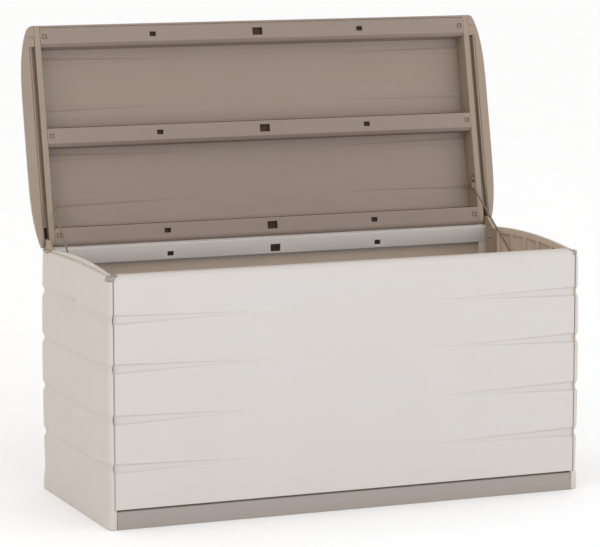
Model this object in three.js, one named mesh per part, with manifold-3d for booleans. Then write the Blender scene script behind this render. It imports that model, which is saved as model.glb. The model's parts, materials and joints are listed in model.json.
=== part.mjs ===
// Deck storage box: a resin chest whose snap-together wall panels stand on a floor tray,
// with a hinged lid held open by two cord stays. Millimetres, +X to the right, +Y to the
// rear, +Z up, origin on the ground under the middle of the body. The lid is shown open.
import * as THREE from "three";
import { mergeVertices } from "three/addons/utils/BufferGeometryUtils.js";
import Module from "manifold-3d";

const wasm = await Module();
wasm.setup();

// ---- Driving dimensions ----
const BODY_HALF_WIDTH = 590;
const BODY_HALF_DEPTH = 252;
const GAP = 0.3; // clearance between pieces that touch
const SKIN = 5; // moulded wall thickness
const WEB = 4; // wall of the hollow rails and beams

// Front and back wall panels
const PANEL_FOOT = 46;
const PANEL_TOP = 583;
const RAIL_DEPTH = 30; // front-to-back depth of the hollow top rail
const RAIL_HEIGHT = 40;
const FOOT_RAIL = { depth: 17, height: 16 };
const TOP_ROUND = { outer: 12, inner: 8 };
const LAP = 5; // how far a wall's skin laps over the edge of the side panel
const END_COLUMN = 22; // width of the hollow column at each end of a wall
const WINDOW_DROP = 26; // centre of the rail's windows under the top of the wall

// Side panels
const SIDE_THICK = 15;
const SIDE_INNER = BODY_HALF_WIDTH - SIDE_THICK;
const LIP_THICK = 7; // raised lip along the inner half of the top edge
const LIP_CROWN = 594;
const LIP_DROP = 12.5; // how much lower the lip is near the corners
const SHOULDER_CROWN = 583.3;
const SHOULDER_DROP = 4.6;
const ARCH_REACH = 225; // distance from the crown at which the drops are measured
const RIB = { first: -201, pitch: 71, width: 9 };
const SOLID_FOOT = 40; // solid band left along the foot of a side panel
const SOLID_HEAD = 22; // and under the crown of its lip
const CORNER_ROUND = 12;
const FRONT_NOTCH = { depth: 30, z: 570 };
const REAR_NOTCH = { depth: 55, z: 576 };

// Tapered reliefs moulded into every wall and into the lid
const RELIEF_LEVELS = [141, 253, 370, 482];
const RELIEF = { height: 25, depth: 5, length: 400 };
const GROOVE_MID = { height: 15 };
const LID_RELIEFS = [95, 207, 326, 439]; // u values

// Hand grip scooped into each side panel
const GRIP = { rear: 126, front: -15, top: 497, bottom: 432, depth: 11, crest: 19 };

// Floor tray
const TRAY = { top: 42, plate: 4, skirt: 4, flare: 2.5, inset: 3 };
const TRAY_PAD = 120; // square flat foot in the middle
const TRAY_RIBS = { y: 85, x: [190, 380], width: 4, foot: 28 };

// Front corner caps
const FRONT_CAP = { height: 10, round: 2, inset: 1, overlap: 9 };

// Lid. Its own frame has the hinge axis as origin, y to the rear and z up when closed;
// u below is the distance forward of the axis, so u = -y.
const HINGE = { y: 249, z: 595 };
const OPEN_ANGLE = 102;
const RIM = -11; // height of the lid's rim under the hinge axis
const KNUCKLE = 11; // radius of the lid's rear edge round the axis
const LID_FRONT = 521;
const LID_SPLIT = 254.5;
const LID_INNER = 36; // height of the inner surface at front and rear
const LID_CROWN = 5; // extra height at mid depth
const LID_EDGE_ROUND = 18;
const LID_REAR_ROUND = 12;
const CAP_INNER = 559;
const CAP_MAX = 611; // half-width of the lid at its rim
const CAP_DROP = { rear: 20, front: 26.5 };
const CAP_RISE = 3; // how far the end caps stand above the lid's skin
const CAP_NOSE = 8; // radius of the front corner in plan
const CAP_ROLL = { inner: 566, across: 38 }; // the outer face curves over to the top
const GROOVE = { inner: 573.5, outer: 585.5, depth: 14, rear: 30 };
const CORNER_SEAM = 470;
const HINGE_SLOT = { front: 36, top: 14 };
const CAP_CAVITY = { inner: 577.5, foot: 595.5, head: 584, floor: 7, top: 33, rear: 60 };
const SPIGOT = { reach: 14, root: 5, clearance: 1 }; // of the corner blocks, in that cavity

// Lid beams: u range of the flat face, where the flank ends, and the window row
const BEAMS = {
  front: { from: 477, to: 515.7, flank: 467, windows: 494.3 },
  mid: { from: 236, to: 273, flank: 228, windows: 254.3 },
  rear: { from: 0, to: 33.5, flank: -KNUCKLE, windows: 14.5 },
};
const BEAM_CHAMFER = 8; // slope at the lower edge of the flat face
const WINDOW_PITCH = 273;
const WINDOW = { width: 16, height: 11 };
const MID_WINDOW = { width: 26, height: 18 };
const SNAP = { x: 548, hole: 13, peg: 5.4, reach: 27 };

// Hinge, stays and fasteners
const PIN_RADIUS = 3;
const PIN = { from: 563, to: 589 };
const LUG = { from: 576, to: 584, eye: 9.5, hole: 3.4 };
const BRACKET = { front: 168, rear: 216, foot: 430, top: 582.5, thick: 6 };
const STAY_RADIUS = 2.25;
const STAY_BODY_END = { x: 570, y: 24, z: 500 };
const STAY_LID_END = { x: 552.5, u: 87, z: -4 };
const FITTING_PLATE = 2.2; // thickness of the anchor and clip plates
const SCREW = { head: 4.5, rise: 2.4, shank: 1.9, hole: 2.4 };
const SCREW_LENGTH = { bracket: 14, anchor: 8, clip: 10 };
const BRACKET_SCREWS = { upper: 560, lower: 455 };

// ---- Materials ----
const resin = (name, color, roughness) =>
  new THREE.MeshStandardMaterial({ name, color, roughness, metalness: 0 });
const bodyResin = resin("body_resin", 0xcfc8c0, 0.55);
const lidResin = resin("lid_resin", 0x9c8c7e, 0.55);
const trimResin = resin("trim_resin", 0xa1968a, 0.5);
const cordNylon = resin("cord_nylon", 0x6e5c4a, 0.8);
const steel = new THREE.MeshStandardMaterial({
  name: "screw_steel",
  color: 0xb8b4ac,
  roughness: 0.35,
  metalness: 1,
});

// ---- Solids ----
function solidOf(geometry) {
  geometry.deleteAttribute("normal");
  geometry.deleteAttribute("uv");
  const merged = mergeVertices(geometry, 1e-4);
  return new wasm.Manifold(
    new wasm.Mesh({
      numProp: 3,
      vertProperties: merged.attributes.position.array,
      triVerts: new Uint32Array(merged.index.array),
    }),
  );
}

function geometryOf(solid) {
  const mesh = solid.getMesh();
  const geometry = new THREE.BufferGeometry();
  geometry.setAttribute("position", new THREE.BufferAttribute(mesh.vertProperties, 3));
  geometry.setIndex(new THREE.BufferAttribute(mesh.triVerts, 1));
  geometry.computeVertexNormals();
  return geometry;
}

const join = (first, ...rest) => rest.reduce((whole, piece) => whole.add(piece), first);
const cut = (first, ...rest) => rest.reduce((whole, piece) => whole.subtract(piece), first);

// A block between two x, two y and two z values.
function block([x0, x1], [y0, y1], [z0, z1]) {
  const geometry = new THREE.BoxGeometry(x1 - x0, y1 - y0, z1 - z0);
  return solidOf(geometry.translate((x0 + x1) / 2, (y0 + y1) / 2, (z0 + z1) / 2));
}

// A profile drawn in (y, z) and drawn out along x.
function alongX(shape, x0, x1) {
  const geometry = new THREE.ExtrudeGeometry(shape, {
    depth: x1 - x0,
    bevelEnabled: false,
    curveSegments: 5,
  });
  const turn = new THREE.Matrix4().makeBasis(
    new THREE.Vector3(0, 1, 0),
    new THREE.Vector3(0, 0, 1),
    new THREE.Vector3(1, 0, 0),
  );
  return solidOf(geometry.applyMatrix4(turn).translate(x0, 0, 0));
}

// A round bar along x.
function barX(radius, x0, x1, y, z, sides = 16) {
  const geometry = new THREE.CylinderGeometry(radius, radius, x1 - x0, sides);
  return solidOf(geometry.rotateZ(Math.PI / 2).translate((x0 + x1) / 2, y, z));
}

// A body through a row of convex rings, each a list of the same number of [x, y, z].
function loft(rings) {
  const count = rings[0].length;
  const last = (rings.length - 1) * count;
  const index = [];
  for (let start = 0; start < last; start += count) {
    for (let j = 0; j < count; j++) {
      const a = start + j;
      const b = start + ((j + 1) % count);
      index.push(a, b, b + count, a, b + count, a + count);
    }
  }
  for (let j = 1; j + 1 < count; j++) {
    index.push(0, j + 1, j, last, last + j, last + j + 1);
  }
  const geometry = new THREE.BufferGeometry();
  geometry.setAttribute("position", new THREE.Float32BufferAttribute(rings.flat(2), 3));
  geometry.setIndex(index);
  return solidOf(geometry);
}

const polygon = (points) => new THREE.Shape(points.map(([a, b]) => new THREE.Vector2(a, b)));
const mirrored = (solid) => solid.mirror([1, 0, 0]);
const bothEnds = (solid) => join(solid, mirrored(solid));

const object = new THREE.Group();
const lid = new THREE.Group();
lid.position.set(0, HINGE.y, HINGE.z);
lid.rotation.x = THREE.MathUtils.degToRad(-OPEN_ANGLE);
object.add(lid);

function addPiece(group, name, solid, material) {
  const mesh = new THREE.Mesh(geometryOf(solid), material);
  mesh.name = name;
  group.add(mesh);
  return mesh;
}

// A piece made for the right-hand side, and its mirror image for the left.
function addPair(group, name, solid, material) {
  addPiece(group, "right_" + name, solid, material);
  addPiece(group, "left_" + name, mirrored(solid), material);
}

// ---- Reliefs: shallow wedges that start at a panel's end and taper to nothing ----
// A six-sided spike from x = end inward, centred on (y, z) and flattened along y or z.
function wedge(end, y, z, flattened) {
  const flat = RELIEF.depth / (RELIEF.height / 2);
  const geometry = new THREE.ConeGeometry(RELIEF.height / 2, RELIEF.length, 6);
  geometry.rotateZ(Math.PI / 2);
  geometry.scale(1, flattened === "y" ? flat : 1, flattened === "z" ? flat : 1);
  return solidOf(geometry.translate(end - RELIEF.length / 2, y, z));
}

// ---- Front and back walls ----
// Section with y counted inward from the outer face.
function wallSection() {
  const { outer, inner } = TOP_ROUND;
  const rail = RAIL_DEPTH;
  const shape = new THREE.Shape();
  shape.moveTo(0, PANEL_FOOT);
  shape.lineTo(FOOT_RAIL.depth, PANEL_FOOT);
  shape.lineTo(FOOT_RAIL.depth, PANEL_FOOT + FOOT_RAIL.height);
  shape.lineTo(SKIN, PANEL_FOOT + FOOT_RAIL.height);
  shape.lineTo(SKIN, PANEL_TOP - outer);
  shape.absarc(outer, PANEL_TOP - outer, outer - SKIN, Math.PI, Math.PI / 2, true);
  shape.lineTo(rail - inner, PANEL_TOP - SKIN);
  shape.absarc(rail - inner, PANEL_TOP - inner, inner - WEB, Math.PI / 2, 0, true);
  shape.lineTo(rail - WEB, PANEL_TOP - RAIL_HEIGHT);
  shape.lineTo(rail, PANEL_TOP - RAIL_HEIGHT);
  shape.lineTo(rail, PANEL_TOP - inner);
  shape.absarc(rail - inner, PANEL_TOP - inner, inner, 0, Math.PI / 2, false);
  shape.lineTo(outer, PANEL_TOP);
  shape.absarc(outer, PANEL_TOP - outer, outer, Math.PI / 2, Math.PI, false);
  return shape;
}

// A row of openings: one wide one in the middle and a small one on either side.
const windowRow = (opening) =>
  join(
    opening(MID_WINDOW, 0),
    opening(WINDOW, WINDOW_PITCH),
    opening(WINDOW, -WINDOW_PITCH),
  );

// The same moulding serves as front wall and, turned round, as back wall. Its outer face
// is at y = 0 and its inside towards +y.
function wallPanel() {
  const half = SIDE_INNER - GAP;
  const columnStart = half - END_COLUMN;
  const columnFoot = PANEL_FOOT + FOOT_RAIL.height;
  const columnTop = PANEL_TOP - 10;
  const railBack = [RAIL_DEPTH - WEB, RAIL_DEPTH];
  const lapped = SIDE_INNER + LAP - GAP;
  const columnSide = block(
    [columnStart, columnStart + WEB],
    [SKIN - 1, RAIL_DEPTH],
    [columnFoot - 1, columnTop],
  );
  const columnFace = block([columnStart, half], railBack, [columnFoot, columnTop]);
  let panel = join(
    alongX(wallSection(), -half, half),
    block([-lapped, lapped], [0, SKIN], [PANEL_FOOT, FRONT_NOTCH.z - GAP]),
    bothEnds(join(columnSide, columnFace)),
  );
  for (const z of RELIEF_LEVELS) {
    panel = join(panel, bothEnds(wedge(columnStart, SKIN, z, "y")));
  }
  for (const z of RELIEF_LEVELS) {
    panel = cut(panel, bothEnds(wedge(lapped + 1, 0, z, "y")));
  }
  const level = PANEL_TOP - WINDOW_DROP;
  const opening = ({ width, height }, x) =>
    block(
      [x - width / 2, x + width / 2],
      [RAIL_DEPTH - WEB - 1, RAIL_DEPTH + 1],
      [level - height / 2, level + height / 2],
    );
  return cut(panel, windowRow(opening));
}

const wall = wallPanel();
const frontCorner = block(
  [SIDE_INNER - FRONT_CAP.overlap, BODY_HALF_WIDTH],
  [-1, RAIL_DEPTH + 1],
  [FRONT_NOTCH.z, PANEL_TOP + 1],
);
const frontPanel = addPiece(object, "front_panel", cut(wall, bothEnds(frontCorner)), bodyResin);
frontPanel.position.y = -BODY_HALF_DEPTH;
const backPanel = addPiece(object, "back_panel", wall, bodyResin);
backPanel.position.y = BODY_HALF_DEPTH;
backPanel.rotation.z = Math.PI;

// ---- Side panels ----
const lipHeight = (y) => LIP_CROWN - LIP_DROP * (y / ARCH_REACH) ** 2;
const shoulderHeight = (y) => SHOULDER_CROWN - SHOULDER_DROP * (y / ARCH_REACH) ** 2;

// Outline in (y, z) with a flat foot and an arched top.
function archedOutline(foot, height, from, to, steps = 14) {
  const points = [
    [from, foot],
    [to, foot],
  ];
  for (let i = 0; i <= steps; i++) {
    const y = to + ((from - to) * i) / steps;
    points.push([y, height(y)]);
  }
  return polygon(points);
}

// One groove runs the depth of the panel, deepest at both corners.
function sideGroove(x, z) {
  const length = BODY_HALF_DEPTH + 1;
  const atCorner = RELIEF.height / 2;
  const rear = new THREE.CylinderGeometry(atCorner, GROOVE_MID.height / 2, length, 8);
  rear.scale(RELIEF.depth / atCorner, 1, 1);
  const half = solidOf(rear.translate(x, length / 2, z));
  return join(half, half.mirror([0, 1, 0]));
}

// The grip is deepest under its top edge and runs out to the face at its foot.
function gripScoop() {
  const outer = BODY_HALF_WIDTH;
  const section = polygon([
    [outer + 1, GRIP.top],
    [outer - GRIP.depth, GRIP.top - 3],
    [outer - GRIP.depth, GRIP.top - 3 - GRIP.crest],
    [outer + 1, GRIP.bottom],
  ]);
  const geometry = new THREE.ExtrudeGeometry(section, {
    depth: GRIP.rear - GRIP.front,
    bevelEnabled: false,
  });
  return solidOf(geometry.rotateX(Math.PI / 2).translate(0, GRIP.rear, 0));
}

// Plan of a side panel: square inner edges, rounded outer corners.
function sidePlan() {
  const outer = BODY_HALF_WIDTH;
  const reach = BODY_HALF_DEPTH;
  const round = CORNER_ROUND;
  const plan = new THREE.Shape();
  plan.moveTo(SIDE_INNER - 1, -reach - 1);
  plan.lineTo(SIDE_INNER - 1, reach + 1);
  plan.lineTo(SIDE_INNER, reach);
  plan.lineTo(outer - round, reach);
  plan.absarc(outer - round, reach - round, round, Math.PI / 2, 0, true);
  plan.lineTo(outer, -reach + round);
  plan.absarc(outer - round, -reach + round, round, 0, -Math.PI / 2, true);
  plan.lineTo(SIDE_INNER, -reach);
  const settings = { depth: 600, bevelEnabled: false, curveSegments: 5 };
  return solidOf(new THREE.ExtrudeGeometry(plan, settings));
}

// Pockets between the upright ribs on the inner face.
function sidePockets() {
  const pockets = [];
  const top = (y) => lipHeight(y) - SOLID_HEAD;
  for (let y = RIB.first; y < BRACKET.front - RIB.pitch / 2; y += RIB.pitch) {
    const outline = archedOutline(SOLID_FOOT, top, y + RIB.width / 2, y + RIB.pitch - RIB.width / 2, 3);
    pockets.push(alongX(outline, SIDE_INNER - 1, BODY_HALF_WIDTH - SKIN));
  }
  return join(...pockets);
}

function sidePanel() {
  const outer = BODY_HALF_WIDTH;
  const reach = BODY_HALF_DEPTH;
  const above = 600; // higher than the crown of the lip
  const lapDepth = SKIN + GAP;
  const lapX = [SIDE_INNER - 1, SIDE_INNER + LAP];
  const lapZ = [PANEL_FOOT - GAP, above];
  const across = [SIDE_INNER - 1, outer + 1];
  const wholeArch = alongX(archedOutline(0, shoulderHeight, -reach, reach), SIDE_INNER, outer);
  const lipOutline = archedOutline(500, lipHeight, -reach, reach);
  const gripBacking = block(
    [SIDE_INNER, outer - 1],
    [GRIP.front - SKIN, GRIP.rear + SKIN],
    [GRIP.bottom - SKIN, GRIP.top + 29],
  );
  const behindFace = block([SIDE_INNER, outer - 1], [-reach, reach], [0, above]);
  let panel = join(wholeArch, alongX(lipOutline, SIDE_INNER, SIDE_INNER + LIP_THICK));
  panel = join(cut(panel, sidePockets()), gripBacking);
  for (const z of RELIEF_LEVELS) {
    panel = join(panel, sideGroove(outer - SKIN, z).intersect(behindFace));
  }
  for (const z of RELIEF_LEVELS) {
    panel = cut(panel, sideGroove(outer, z));
  }
  return cut(
    panel.intersect(sidePlan()),
    gripScoop(),
    block(lapX, [-reach - 1, -reach + lapDepth], lapZ),
    block(lapX, [reach - lapDepth, reach + 1], lapZ),
    block(across, [-reach - 1, -reach + FRONT_NOTCH.depth], [FRONT_NOTCH.z, above]),
    block(across, [reach - REAR_NOTCH.depth, reach + 1], [REAR_NOTCH.z, above]),
  );
}

const bracketScrewY = (BRACKET.front + BRACKET.rear) / 2;
const stayScrew = { y: STAY_BODY_END.y, z: STAY_BODY_END.z - 22 };
const screwHole = (y, z, from, to) => barX(SCREW.hole, from, to, y, z, 10);
const pilotHoles = Object.values(BRACKET_SCREWS).map((z) =>
  screwHole(bracketScrewY, z, SIDE_INNER - 1, SIDE_INNER + 9),
);
const anchorPilot = screwHole(stayScrew.y, stayScrew.z, SIDE_INNER - 1, SIDE_INNER + 3.5);
addPair(object, "side_panel", cut(sidePanel(), anchorPilot, ...pilotHoles), bodyResin);

// ---- Front corner caps: plugs over the notch where front and side panels meet ----
function frontCap() {
  const { height, round, inset, overlap } = FRONT_CAP;
  const inner = SIDE_INNER - overlap + GAP;
  const outer = BODY_HALF_WIDTH - inset;
  const front = -BODY_HALF_DEPTH + inset;
  const rear = -BODY_HALF_DEPTH + FRONT_NOTCH.depth - GAP;
  const corner = CORNER_ROUND;
  const outline = new THREE.Shape();
  outline.moveTo(inner, front);
  outline.lineTo(outer - corner, front);
  outline.absarc(outer - corner, front + corner, corner, -Math.PI / 2, 0, false);
  outline.lineTo(outer, rear);
  outline.lineTo(inner, rear);
  const geometry = new THREE.ExtrudeGeometry(outline, {
    depth: height - 2 * round,
    bevelThickness: round,
    bevelSize: round,
    bevelOffset: -round,
    bevelSegments: 2,
    curveSegments: 5,
  });
  const plug = solidOf(geometry.translate(0, 0, FRONT_NOTCH.z + GAP + round));
  const tongueZ = [FRONT_NOTCH.z + 1.5, FRONT_NOTCH.z + 5.5];
  return join(plug, block([inner - 8, inner + 6], [front + 7, rear - 6], tongueZ));
}
addPair(object, "front_cap", frontCap(), trimResin);

// ---- Floor tray: plate, flared skirts, stiffening ribs and a flat foot in the middle ----
function floorTray() {
  const half = SIDE_INNER - GAP;
  const reach = BODY_HALF_DEPTH - TRAY.inset;
  const { top, plate, skirt, flare } = TRAY;
  const { width, foot } = TRAY_RIBS;
  const section = polygon([
    [-reach - flare, 0],
    [-reach - flare + skirt, 0],
    [-reach + skirt, top - plate],
    [reach - skirt, top - plate],
    [reach + flare - skirt, 0],
    [reach + flare, 0],
    [reach, top],
    [-reach, top],
  ]);
  const ledge = block([-half + 40, half - 40], [-reach + 6, -reach + 10], [top - 1, PANEL_FOOT - GAP]);
  const endSkirt = block([half - skirt, half], [-reach + 2, reach - 2], [0.5, top - 1]);
  const pad = [-TRAY_PAD / 2, TRAY_PAD / 2];
  const alongRib = block(
    [-half + 2, half - 2],
    [TRAY_RIBS.y - width / 2, TRAY_RIBS.y + width / 2],
    [foot, top - 2],
  );
  const acrossRibs = TRAY_RIBS.x.map((x) =>
    block([x - width / 2, x + width / 2], [-reach + 3, reach - 3], [foot + 1, top - 3]),
  );
  return join(
    alongX(section, -half, half),
    ledge,
    ledge.mirror([0, 1, 0]),
    bothEnds(endSkirt),
    block(pad, pad, [0, top - 1]),
    alongRib,
    alongRib.mirror([0, 1, 0]),
    ...acrossRibs.map(bothEnds),
  );
}
addPiece(object, "floor_panel", floorTray(), trimResin);

// ---- Hinge brackets: a leg on the inner face and a lug that rises over the rear corner ----
function hingeBracket() {
  const face = SIDE_INNER - GAP;
  const legX = [face - BRACKET.thick, face];
  const outer = BODY_HALF_WIDTH - 2;
  const { y, z } = HINGE;
  const rear = BODY_HALF_DEPTH - 1.5;
  const notch = BODY_HALF_DEPTH - REAR_NOTCH.depth + GAP;
  const seat = REAR_NOTCH.z + GAP;
  const lug = new THREE.Shape();
  lug.moveTo(notch, seat);
  lug.lineTo(rear, seat);
  lug.lineTo(y + LUG.eye, z);
  lug.absarc(y, z, LUG.eye, 0, Math.PI / 2, false);
  lug.lineTo(y - 24, z + LUG.eye);
  lug.lineTo(notch + 3, seat + 9);
  const bridgeRear = BODY_HALF_DEPTH - RAIL_DEPTH - GAP;
  const bracket = join(
    alongX(lug, LUG.from, LUG.to),
    block(legX, [BRACKET.front, BRACKET.rear], [BRACKET.foot, BRACKET.top]),
    block([legX[0], outer], [notch, bridgeRear], [seat, BRACKET.top]),
    block([face + 2 * GAP, outer], [bridgeRear - 1, rear], [seat, BRACKET.top - 2]),
  );
  const clearances = Object.values(BRACKET_SCREWS).map((level) =>
    screwHole(bracketScrewY, level, face - 10, face + 1),
  );
  return cut(bracket, barX(LUG.hole, LUG.from - 1, LUG.to + 1, y, z, 20), ...clearances);
}
addPair(object, "hinge_bracket", hingeBracket(), trimResin);

// ---- Screws: pan head facing the middle of the box, shank along +x ----
function screw(headFace, y, z, length) {
  const profile = [
    [0, 0],
    [SCREW.head - 1.2, 0],
    [SCREW.head, SCREW.rise * 0.6],
    [SCREW.head, SCREW.rise],
    [SCREW.shank, SCREW.rise],
    [SCREW.shank, length - 2],
    [0, length],
  ].map(([r, h]) => new THREE.Vector2(r, h));
  const geometry = new THREE.LatheGeometry(profile, 12);
  return solidOf(geometry.rotateZ(-Math.PI / 2).translate(headFace, y, z));
}
const bracketInner = SIDE_INNER - GAP - BRACKET.thick;
for (const [name, z] of Object.entries(BRACKET_SCREWS)) {
  const head = bracketInner - GAP - SCREW.rise;
  const solid = screw(head, bracketScrewY, z, SCREW_LENGTH.bracket);
  addPair(object, `hinge_screw_${name}`, solid, steel);
}

// ---- Stays and their anchors on the side panels ----
function stayEnds() {
  const lidEnd = new THREE.Vector3(STAY_LID_END.x, -STAY_LID_END.u, STAY_LID_END.z);
  lid.updateMatrixWorld(true);
  lid.localToWorld(lidEnd);
  const bodyEnd = new THREE.Vector3(STAY_BODY_END.x, STAY_BODY_END.y, STAY_BODY_END.z);
  return { bodyEnd, lidEnd };
}

// A straight round cord between two points, or the hole it sits in.
function cordBetween(from, to, radius, steps) {
  const circle = new THREE.Shape();
  circle.absarc(0, 0, radius, 0, 2 * Math.PI, false);
  const geometry = new THREE.ExtrudeGeometry(circle, {
    steps,
    extrudePath: new THREE.LineCurve3(from, to),
    curveSegments: 5,
  });
  return solidOf(geometry);
}

const stay = stayEnds();
const STAY_BORE = STAY_RADIUS + 0.5;

function bodyAnchor() {
  const face = SIDE_INNER - GAP;
  const { y, z } = STAY_BODY_END;
  const anchor = join(
    block([face - FITTING_PLATE, face], [y - 11, y + 11], [z - 31, z + 14]),
    block([face - 10, face], [y - 9, y + 9], [z - 10, z + 12]),
  );
  const bore = cordBetween(stay.bodyEnd, stay.lidEnd, STAY_BORE, 1);
  return cut(anchor, bore, screwHole(stayScrew.y, stayScrew.z, face - 10, face + 1));
}
addPair(object, "stay_anchor", bodyAnchor(), trimResin);
const anchorHead = SIDE_INNER - 2 * GAP - FITTING_PLATE - SCREW.rise;
const anchorScrew = screw(anchorHead, stayScrew.y, stayScrew.z, SCREW_LENGTH.anchor);
addPair(object, "anchor_screw", anchorScrew, steel);
addPair(object, "stay_cord", cordBetween(stay.bodyEnd, stay.lidEnd, STAY_RADIUS, 12), cordNylon);

// ---- Lid: height of its skin, and sections in (y, z) with y = -u ----
function crown(u) {
  const mid = (LID_FRONT - KNUCKLE) / 2;
  const half = (LID_FRONT + KNUCKLE) / 2;
  return LID_CROWN * (1 - ((u - mid) / half) ** 2);
}
const innerHeight = (u) => LID_INNER + crown(u);
const outerHeight = (u) => innerHeight(u) + SKIN;

// Full section of the lid from rim to skin, raised by some amount over the plain skin.
function lidSection(raise) {
  const round = LID_EDGE_ROUND;
  const rearRound = LID_REAR_ROUND;
  const upright = Math.PI / 2;
  const tilt = 0.06; // the skin leaves both rounds slightly off level
  const top = (u) => outerHeight(u) + raise;
  const frontCentre = top(LID_FRONT) - round;
  const shape = new THREE.Shape();
  shape.moveTo(0, RIM);
  shape.lineTo(-LID_FRONT, RIM);
  shape.lineTo(-LID_FRONT, frontCentre);
  shape.absarc(-LID_FRONT + round, frontCentre, round, Math.PI, upright + tilt, true);
  const steps = 10;
  const first = LID_FRONT - round - 4;
  const last = rearRound - KNUCKLE + 2;
  for (let i = 0; i <= steps; i++) {
    const u = first + ((last - first) * i) / steps;
    shape.lineTo(-u, top(u));
  }
  shape.absarc(KNUCKLE - rearRound, top(0) - rearRound, rearRound, upright - tilt, 0, true);
  shape.lineTo(KNUCKLE, 0);
  shape.absarc(0, 0, KNUCKLE, 0, -upright, true);
  return shape;
}

// The hollow under the skin between two u values, its upper corners cut off to keep the
// wall at full thickness behind the rounded edges.
function hollowUnderSkin(front, rear, clearance) {
  const corner = { front: 13, rear: 8 };
  const under = (u) => innerHeight(u) - clearance;
  const points = [
    [-front, RIM - 1],
    [-front, under(front) - corner.front],
  ];
  const steps = 12;
  const first = front - corner.front;
  const last = rear + corner.rear;
  for (let i = 0; i <= steps; i++) {
    const u = first + ((last - first) * i) / steps;
    points.push([-u, under(u)]);
  }
  points.push([-rear, under(rear) - corner.rear], [-rear, RIM - 1]);
  return alongX(polygon(points), -CAP_INNER, CAP_INNER);
}

// A lid panel: the skin between two u values, with tapered reliefs at both ends.
function lidPanel(from, to, frontWall) {
  const half = CAP_INNER - GAP;
  const skirtFoot = frontWall ? RIM - 1 : GAP; // the rear wall stops above the rear beam
  const hollow = hollowUnderSkin(LID_FRONT - SKIN, SKIN - KNUCKLE, 0);
  let panel = cut(alongX(lidSection(0), -half, half), hollow);
  panel = panel.intersect(block([-half - 1, half + 1], [-to, -from], [skirtFoot, 80]));
  const levels = LID_RELIEFS.filter((u) => u > from && u < to);
  for (const u of levels) {
    panel = join(panel, bothEnds(wedge(half - 1, -u, innerHeight(u), "z")));
  }
  for (const u of levels) {
    panel = cut(panel, bothEnds(wedge(half + 1, -u, outerHeight(u) + 0.6, "z")));
  }
  return panel;
}

addPiece(lid, "lid_front_panel", lidPanel(LID_SPLIT, LID_FRONT + 1, true), lidResin);
addPiece(lid, "lid_rear_panel", lidPanel(-KNUCKLE - 1, LID_SPLIT - GAP, false), lidResin);

// ---- Lid beams: hollow rails under the skin, open towards it ----
const trimSpace = hollowUnderSkin(LID_FRONT - SKIN, -KNUCKLE - 1, GAP);

// Section of a beam in (y, z): a flat face on the rim, an upright front wall and a
// chamfered or, at the rear, rounded flank. Its hollow is the outline moved in by one wall.
function beamSection({ from, to, flank }, inset) {
  const high = 60;
  const shape = new THREE.Shape();
  shape.moveTo(-to + inset, high);
  shape.lineTo(-to + inset, RIM + inset);
  if (flank === -KNUCKLE) {
    shape.lineTo(0, RIM + inset);
    shape.absarc(0, 0, KNUCKLE - inset, -Math.PI / 2, 0, false);
    shape.lineTo(KNUCKLE - inset, inset ? high : 0);
    shape.lineTo(0, inset ? high : 0);
    return shape;
  }
  const mitre = inset * (Math.SQRT2 - 1); // of a wall round a 45 degree corner
  shape.lineTo(-from - mitre, RIM + inset);
  shape.lineTo(BEAM_CHAMFER - from - inset, RIM + BEAM_CHAMFER + mitre);
  shape.lineTo(-flank - inset, high);
  return shape;
}

function beam(spec) {
  const half = CAP_INNER - GAP;
  const outline = alongX(beamSection(spec, 0), -half, half);
  const hollow = alongX(beamSection(spec, WEB), -half - 1, half + 1);
  const opening = ({ width, height }, x) =>
    block(
      [x - width / 2, x + width / 2],
      [-spec.windows - height / 2, -spec.windows + height / 2],
      [RIM - 1, RIM + WEB + 1],
    );
  const snapHole = opening({ width: SNAP.hole, height: SNAP.hole }, SNAP.x);
  return cut(cut(outline, hollow).intersect(trimSpace), windowRow(opening), bothEnds(snapHole));
}
for (const [name, spec] of Object.entries(BEAMS)) {
  addPiece(lid, `lid_${name}_beam`, beam(spec), lidResin);
}

// ---- Lid end caps ----
// How much an edge rounded to a radius has fallen away at a distance past its start.
function roundedOff(past, radius) {
  return radius - Math.sqrt(radius ** 2 - Math.max(0, past) ** 2);
}

// Half-width of the lid at its rim, at a distance u from the hinge axis.
function capWidth(u) {
  const mid = (LID_FRONT - KNUCKLE) / 2;
  const t = (u - mid) / ((LID_FRONT + KNUCKLE) / 2);
  const drop = t < 0 ? CAP_DROP.rear : CAP_DROP.front;
  return CAP_MAX - drop * Math.abs(t) ** 5 - roundedOff(u - LID_FRONT + CAP_NOSE, CAP_NOSE);
}

// The outer face leaves the rim upright and curves over to meet the top.
function capFace(u, z) {
  const width = capWidth(u);
  const across = Math.min(CAP_ROLL.across, width - CAP_ROLL.inner);
  const share = (z - RIM) / (outerHeight(u) + CAP_RISE - RIM);
  return width - across * (1 - Math.sqrt(Math.max(0, 1 - share ** 2)));
}

// Section of a cap at u: the underside curls up round the hinge axis, and the top is
// rounded down at the front and the rear.
function capRing(u) {
  const foot = u < 0 ? -Math.sqrt(KNUCKLE ** 2 - u ** 2) : RIM;
  const atFront = roundedOff(u - LID_FRONT + LID_EDGE_ROUND, LID_EDGE_ROUND);
  const atRear = roundedOff(LID_REAR_ROUND - KNUCKLE - u, LID_REAR_ROUND);
  const top = outerHeight(u) + CAP_RISE - atFront - atRear;
  const ring = [
    [CAP_INNER, -u, top],
    [CAP_INNER, -u, foot],
  ];
  const steps = 8;
  for (let i = 0; i <= steps; i++) {
    const z = foot + (top - foot) * Math.sin((i / steps) * (Math.PI / 2));
    ring.push([capFace(u, z), -u, z]);
  }
  return ring;
}

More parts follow.
